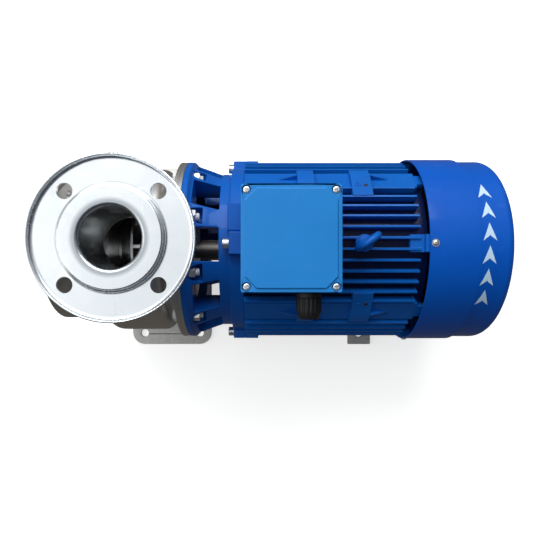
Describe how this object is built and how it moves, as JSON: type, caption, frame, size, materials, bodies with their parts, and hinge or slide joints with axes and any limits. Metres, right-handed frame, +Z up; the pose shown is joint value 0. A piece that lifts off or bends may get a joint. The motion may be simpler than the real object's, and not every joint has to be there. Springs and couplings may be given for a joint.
{
  "type": "horizontal centrifugal pump",
  "caption": "Close-coupled end-suction centrifugal pump: stainless volute with upward discharge flange, blue lantern bracket and finned electric motor with fan cover and terminal box.",
  "frame": {"origin": "centre of the suction flange's sealing face, on the shaft line", "axes": "+X along the shaft from suction to fan, +Z up along the discharge, +Y across"},
  "size_m": [0.603, 0.32, 0.36],
  "materials": {
    "polished_stainless": "satin polished stainless sheet",
    "stainless": "drawn stainless steel, satin",
    "blue_enamel": "gloss royal blue enamel on castings",
    "blue_cover": "gloss royal blue enamel on drawn sheet",
    "zinc_steel": "bright zinc plating",
    "galvanised_steel": "dull galvanised plate",
    "bearing_steel": "ground bearing steel",
    "core_sheet": "stacked electrical sheet",
    "copper_winding": "varnished copper wire",
    "cast_aluminium": "die cast",
    "brass": "turned brass",
    "black_plastic": "black moulded polyamide",
    "black_rubber": "moulded rubber",
    "seal_ceramic": "ground ceramic"
  },
  "bodies": {
    "pump_body": {"discharge_flange": "polished_stainless", "suction_flange": "stainless", "pump_casing": "stainless", "suction_neck": "stainless", "discharge_neck": "stainless", "casing_cover": "stainless", "priming_plug": "stainless", "drain_plug": "stainless", "wear_ring": "stainless", "bracket": "blue_enamel", "motor_frame": "blue_enamel", "rear_end_shield": "blue_enamel", "terminal_box_base": "blue_enamel", "terminal_box_lid": "blue_enamel", "lifting_eye": "blue_enamel", "fan_cover": "blue_cover", "casing_bolts": "zinc_steel", "casing_washers": "zinc_steel", "casing_nuts": "zinc_steel", "shield_bolts": "zinc_steel", "rear_shield_bolts": "zinc_steel", "fan_cover_screws": "zinc_steel", "lid_screws": "zinc_steel", "motor_foot_bolts": "zinc_steel", "earth_screw": "zinc_steel", "pump_foot": "galvanised_steel", "motor_foot_left": "galvanised_steel", "motor_foot_right": "galvanised_steel", "front_bearing_outer_ring": "bearing_steel", "rear_bearing_outer_ring": "bearing_steel", "wave_spring": "bearing_steel", "stator_core": "core_sheet", "stator_windings": "copper_winding", "terminal_studs": "brass", "terminal_nuts": "brass", "terminal_board": "black_plastic", "cable_gland": "black_plastic", "gland_nut": "black_plastic", "gland_locknut": "black_plastic", "casing_o_ring": "black_rubber", "lid_gasket": "black_rubber", "gland_seal": "black_rubber", "seal_seat": "seal_ceramic"},
    "shaft_assembly": {"shaft": "stainless", "impeller": "stainless", "impeller_key": "stainless", "impeller_nut": "stainless", "seal_head": "stainless", "seal_spring": "stainless", "splash_ring": "black_rubber", "rotor_core": "core_sheet", "rotor_cage": "cast_aluminium", "cooling_fan": "black_plastic", "fan_clip": "zinc_steel", "front_bearing_inner_ring": "bearing_steel", "rear_bearing_inner_ring": "bearing_steel"},
    "front_cage": {"front_bearing_cage": "brass", "front_bearing_balls": "bearing_steel"},
    "rear_cage": {"rear_bearing_cage": "brass", "rear_bearing_balls": "bearing_steel"}
  },
  "joints": [
    {"name": "shaft_spin", "type": "hinge", "parent": "pump_body", "child": "shaft_assembly", "pos_m": [0.3, 0, 0], "axis": [-1, 0, 0], "continuous": true},
    {"name": "front_cage_spin", "type": "hinge", "parent": "pump_body", "child": "front_cage", "pos_m": [0.2545, 0, 0], "axis": [-1, 0, 0], "continuous": true},
    {"name": "rear_cage_spin", "type": "hinge", "parent": "pump_body", "child": "rear_cage", "pos_m": [0.479, 0, 0], "axis": [-1, 0, 0], "continuous": true}
  ],
  "couplings": [
    {"joint": "front_cage_spin", "follows": "shaft_spin", "ratio": 0.384},
    {"joint": "rear_cage_spin", "follows": "shaft_spin", "ratio": 0.4008}
  ]
}
